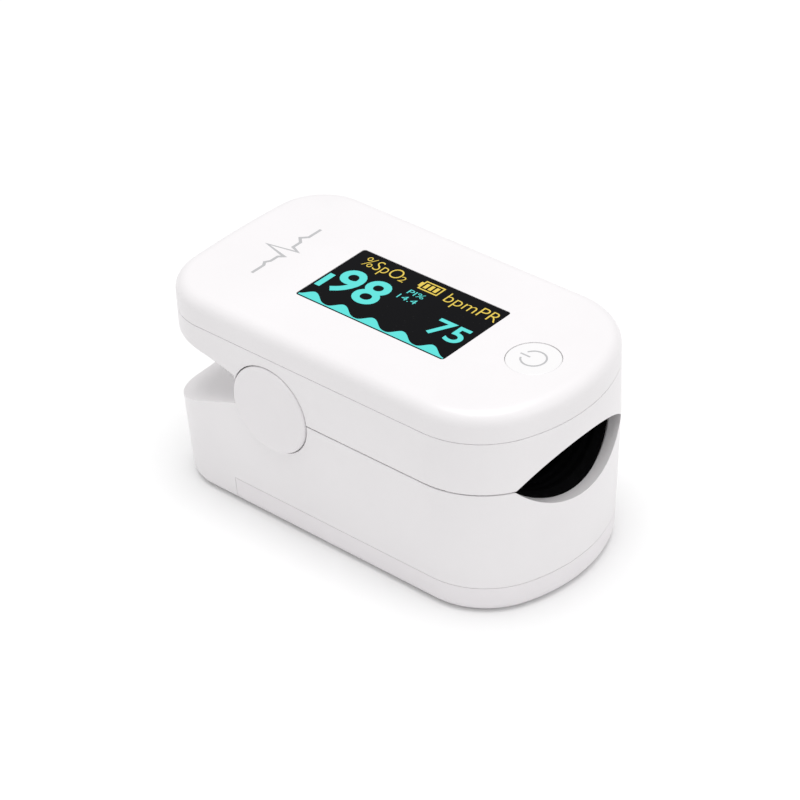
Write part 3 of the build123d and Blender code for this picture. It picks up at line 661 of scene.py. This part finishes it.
def makePad(node, innerRadius, thickness, upwards):
    low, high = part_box(node)
    outer = innerRadius + thickness
    rear, front = low[0], high[0]
    middle = high[2] - outer if upwards else low[2] + outer
    rim = low[2] if upwards else high[2]
    tip, footHalf, tipHalf = innerRadius - pads["ribHeight"], pads["ribFoot"], pads["ribTip"]
    points = [(rear, outer), (front, outer), (front, innerRadius)]
    for rib in range(pads["ribs"]):
        x = front - pads["ribStart"] - rib * pads["ribPitch"]
        points += [(x + footHalf, innerRadius), (x + tipHalf, tip), (x - tipHalf, tip),
                   (x - footHalf, innerRadius)]
    points += [(rear + thickness, innerRadius), (rear + thickness, pads["wallReach"]),
               (rear, pads["wallReach"])]
    bm = bmesh.new()
    drawLine(bm, [(x, 0, r) for x, r in points], closed=True)
    sweep = math.radians(pads["sweep"])
    start = Matrix.Rotation(-sweep / 2, 3, "X")
    bmesh.ops.rotate(bm, verts=bm.verts[:], cent=(0, 0, 0), matrix=start)
    bmesh.ops.spin(bm, geom=bm.verts[:] + bm.edges[:], cent=(0, 0, 0), axis=(1, 0, 0), angle=sweep,
                   steps=pads["sweepSteps"], use_merge=False)
    if not upwards:
        bmesh.ops.scale(bm, verts=bm.verts[:], vec=(1, 1, -1))
    bmesh.ops.translate(bm, verts=bm.verts[:], vec=(0, 0, middle))
    cut = bmesh.ops.bisect_plane(bm, geom=bm.verts[:] + bm.edges[:] + bm.faces[:], plane_co=(0, 0, rim),
                                 plane_no=(0, 0, -1 if upwards else 1), clear_outer=True)
    edges = [e for e in cut["geom_cut"] if isinstance(e, bmesh.types.BMEdge)]
    bmesh.ops.holes_fill(bm, edges=edges, sides=0)
    for vert in bm.verts:
        drop = 0 if upwards else rim - vert.co.z
        reach = (padFront(front, vert.co.y, drop) - rear) / (front - rear)
        vert.co.x = rear + (vert.co.x - rear) * reach
    pad = toObject(node + "Moulded", bm, smoothAngle=35)
    windowNode = "emitter_window" if upwards else "detector_window"
    lensLow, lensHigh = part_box(windowNode)
    spare = Vector((pads["openingSlack"], pads["openingSlack"], pads["openingReach"]))
    cutter = bmesh.new()
    slab(cutter, Vector(lensLow) - spare, Vector(lensHigh) + spare, pads["openingRadius"])
    tool = toObject("padCutter", cutter)
    for kind, values in (("BOOLEAN", {"object": tool, "operation": "DIFFERENCE", "solver": "EXACT"}),
                         ("BEVEL", {"width": pads["roundRadius"], "segments": 3, "profile": 0.5,
                                    "limit_method": "ANGLE", "angle_limit": math.radians(50)})):
        modifier = pad.modifiers.new(kind.lower(), kind)
        for label, value in values.items():
            setattr(modifier, label, value)
    rounded = fromMesh(meshFrom(pad))
    bpy.data.objects.remove(tool)
    moulded = toObject(node + "Moulded", rounded, smoothAngle=40)
    piece = finished(moulded, materials["pad"], "upper_jaw" if upwards else "lower_jaw")
    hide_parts(node)


makePad("upper_pad", pads["upperRadius"], pads["upperThickness"], True)
makePad("lower_pad", pads["lowerRadius"], pads["lowerThickness"], False)
print("finger pads made")


hinge = next(joint for joint in frame["joints"] if joint["name"] == "jaw_hinge")
hingeX, _, hingeZ = hinge["pos_m"]
spring = {
    "wire": 0.35 * mm,
    "coil": 2.05 * mm,
    "turns": 4.5,
    "pitch": 0.8 * mm,
    "start": 5.0 * mm,
    "leg": 3.7 * mm,
    "stepsPerTurn": 28,
    "sides": 12,
}
cable = {
    "width": 6.0 * mm,
    "thickness": 0.2 * mm,
    "bend": 1.7 * mm,
    "behind": 2.2 * mm,  # how far the upright run lies behind the hinge pin
    "tail": 1.8 * mm,
    "steps": (12, 20, 4),  # along the lower run, the upright run and the tail
    "bendSteps": 8,
}


def lastOf(result, kind):
    return [item for item in result["geom_last"] if isinstance(item, kind)]


def makeSpring(name, node, side):
    bm = bmesh.new()
    ring = bmesh.ops.create_circle(bm, segments=spring["sides"], radius=spring["wire"], cap_ends=True)
    turn = Matrix.Rotation(math.pi / 2, 3, "Y")
    bmesh.ops.rotate(bm, verts=ring["verts"], cent=(0, 0, 0), matrix=turn)
    at = (hingeX - spring["leg"], spring["start"], hingeZ + spring["coil"])
    bmesh.ops.translate(bm, verts=ring["verts"], vec=at)
    leg = bmesh.ops.extrude_face_region(bm, geom=bm.faces[:])["geom"]
    bmesh.ops.translate(bm, verts=vertsOf(leg), vec=(spring["leg"], 0, 0))
    end = [f for f in leg if isinstance(f, bmesh.types.BMFace)]
    steps = int(spring["turns"] * spring["stepsPerTurn"])
    climb = spring["turns"] * spring["pitch"] / steps
    coil = bmesh.ops.spin(bm, geom=end, cent=(hingeX, 0, hingeZ), axis=(0, 1, 0), dvec=(0, climb, 0),
                          angle=2 * math.pi * spring["turns"], steps=steps, use_merge=False)
    leg = bmesh.ops.extrude_face_region(bm, geom=lastOf(coil, bmesh.types.BMFace))["geom"]
    bmesh.ops.translate(bm, verts=vertsOf(leg), vec=(-spring["leg"], 0, 0))
    bmesh.ops.scale(bm, verts=bm.verts[:], vec=(1, side, 1))
    piece = finished(toObject(name, bm, smoothAngle=50), materials["steel"], None)
    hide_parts(node)
    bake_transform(piece)


def makeCable():
    low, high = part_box("flex_cable")
    half = cable["width"] / 2
    lowZ = low[2] + cable["thickness"] / 2
    highZ = high[2] - cable["thickness"] / 2
    columnX = hingeX - cable["behind"]
    corner = columnX + cable["bend"]
    bm = bmesh.new()
    drawLine(bm, [(high[0], -half, lowZ), (high[0], half, lowZ)])

    def run(edge, step, count):
        for _ in range(count):
            grown = bmesh.ops.extrude_edge_only(bm, edges=edge)["geom"]
            bmesh.ops.translate(bm, verts=vertsOf(grown), vec=step)
            edge = [e for e in grown if isinstance(e, bmesh.types.BMEdge)]
        return edge

    def quarterBend(edge, centre):
        turned = bmesh.ops.spin(bm, geom=edge, cent=centre, axis=(0, 1, 0), angle=math.pi / 2,
                                steps=cable["bendSteps"], use_merge=False)
        return lastOf(turned, bmesh.types.BMEdge)

    lowSteps, riseSteps, tailSteps = cable["steps"]
    edge = run(bm.edges[:], ((corner - high[0]) / lowSteps, 0, 0), lowSteps)
    edge = quarterBend(edge, (corner, 0, lowZ + cable["bend"]))
    edge = run(edge, (0, 0, (highZ - lowZ - 2 * cable["bend"]) / riseSteps), riseSteps)
    edge = quarterBend(edge, (corner, 0, highZ - cable["bend"]))
    run(edge, ((cable["tail"] + cable["behind"] - cable["bend"]) / tailSteps, 0, 0), tailSteps)
    strip = toObject("cableStrip", bm)
    solid = strip.modifiers.new("thickness", "SOLIDIFY")
    solid.thickness = cable["thickness"]
    solid.offset = 0
    flat = toObject("flatCable", fromMesh(meshFrom(strip)))
    piece = finished(flat, materials["polyimide"], None)
    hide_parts("flex_cable")
    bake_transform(piece)


makeSpring("torsionSpringRight", "torsion_spring_right", 1)
makeSpring("torsionSpringLeft", "torsion_spring_left", -1)
makeCable()
print("hinge springs and cable made")


cell = {
    "radius": 5.25 * mm,
    "nubRadius": 1.9 * mm,
    "nubLength": 0.9 * mm,
    "nubRound": 0.3 * mm,
    "crimp": 0.45 * mm,  # radius of the sleeve's rolled edge
    "lip": 0.1 * mm,
    "groove": 0.25 * mm,  # pressed into each end
    "sides": 64,
}


def makeCell(name, node, direction):
    low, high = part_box(node)
    length = high[0] - low[0]
    body = length - cell["nubLength"]
    radius, crimp, lip, groove = cell["radius"], cell["crimp"], cell["lip"], cell["groove"]
    nub, nubRound = cell["nubRadius"], cell["nubRound"]
    points = [(0, 0), (0, radius - 3 * crimp), (groove, radius - 2.6 * crimp), (0, radius - 1.6 * crimp),
              (lip, radius - 0.5 * crimp), (crimp, radius), (body - crimp, radius),
              (body - lip, radius - 0.5 * crimp), (body, radius - 1.6 * crimp),
              (body - groove, radius - 2.4 * crimp), (body, nub + nubRound), (body + lip / 2, nub),
              (length - groove, nub), (length, nub - nubRound), (length, 0)]
    bm = bmesh.new()
    drawLine(bm, [(x, 0, r) for x, r in points])
    bmesh.ops.spin(bm, geom=bm.verts[:] + bm.edges[:], cent=(0, 0, 0), axis=(1, 0, 0),
                   angle=2 * math.pi, steps=cell["sides"], use_merge=True)
    bmesh.ops.remove_doubles(bm, verts=bm.verts[:], dist=1e-6)
    if direction < 0:
        bmesh.ops.scale(bm, verts=bm.verts[:], vec=(-1, 1, 1))
    middle = (Vector(low) + Vector(high)) / 2
    bmesh.ops.translate(bm, verts=bm.verts[:],
                        vec=(low[0] if direction > 0 else high[0], middle.y, middle.z))
    piece = finished(toObject(name, bm), sleeveMaterial(name + "Sleeve", direction), "lower_jaw")
    piece.data.materials.append(materials["steel"])
    for face in piece.data.polygons:  # bare steel inside the sleeve's edge
        offAxis = face.center - Vector((face.center.x, middle.y, middle.z))
        face.material_index = 1 if offAxis.length < radius - crimp else 0
    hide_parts(node)


makeCell("cellLeftWrapped", "cell_left", 1)
makeCell("cellRightWrapped", "cell_right", -1)
print("cells made")


camera = {
    "target": (1.51 * mm, -2.49 * mm, 17.0 * mm),
    "azimuth": 42.6,
    "elevation": 34.8,
    "roll": -2.65,
    "distance": 375.5 * mm,
    "lens": 134.4,
    "sensor": 36.0,
    "clip": (0.01, 20.0),
}


def aim(azimuth, elevation, roll=0.0):
    a, e, r = (math.radians(v) for v in (azimuth, elevation, roll))
    back = Vector((math.sin(a) * math.cos(e), -math.cos(a) * math.cos(e), math.sin(e)))
    right = Vector((math.cos(a), math.sin(a), 0))
    up = back.cross(right)
    turnedRight = math.cos(r) * right + math.sin(r) * up
    turnedUp = math.cos(r) * up - math.sin(r) * right
    return Matrix((turnedRight, turnedUp, back)).transposed().to_4x4(), back


def makeCamera():
    data = bpy.data.cameras.new("camera")
    data.lens = camera["lens"]
    data.sensor_width = camera["sensor"]
    data.clip_start, data.clip_end = camera["clip"]
    turn, back = aim(camera["azimuth"], camera["elevation"], camera["roll"])
    place = Vector(camera["target"]) + back * camera["distance"]
    holder = bpy.data.objects.new("camera", data)
    holder.matrix_world = Matrix.Translation(place) @ turn
    bpy.context.scene.collection.objects.link(holder)
    bpy.context.scene.camera = holder


light = {
    "world": 0.66,
    "soft": [  # azimuth, elevation, size, watts
        ("keyLight", 60, 87, 0.5, 2.9),
        ("frontLight", 95, 25, 0.4, 0.26),
    ],
    "reach": 0.7,
    "floorSize": 6.0,
    "floorDrop": 0.03 * mm,  # keeps the floor clear of the base
}


def makeLights():
    for name, azimuth, elevation, size, watts in light["soft"]:
        data = bpy.data.lights.new(name, "AREA")
        data.size = size
        data.energy = watts
        turn, back = aim(azimuth, elevation)
        holder = bpy.data.objects.new(name, data)
        holder.matrix_world = Matrix.Translation(back * light["reach"]) @ turn
        bpy.context.scene.collection.objects.link(holder)
    world = bpy.data.worlds.new("studio")
    world.use_nodes = True
    background = world.node_tree.nodes["Background"]
    background.inputs["Color"].default_value = (1, 1, 1, 1)
    background.inputs["Strength"].default_value = light["world"]
    bpy.context.scene.world = world


def makeFloor():
    bm = bmesh.new()
    bmesh.ops.create_grid(bm, x_segments=1, y_segments=1, size=light["floorSize"] / 2)
    bmesh.ops.translate(bm, verts=bm.verts[:], vec=(0, 0, -light["floorDrop"]))
    floor = toObject("floor", bm)
    material, _, shader = newMaterial("paleFloor", Roughness=0.9)
    shader.inputs["Base Color"].default_value = (0.93, 0.93, 0.93, 1)
    floor.data.materials.append(material)


makeCamera()
makeLights()
makeFloor()
bpy.context.scene.view_settings.view_transform = "Standard"
print("camera, light and floor made")
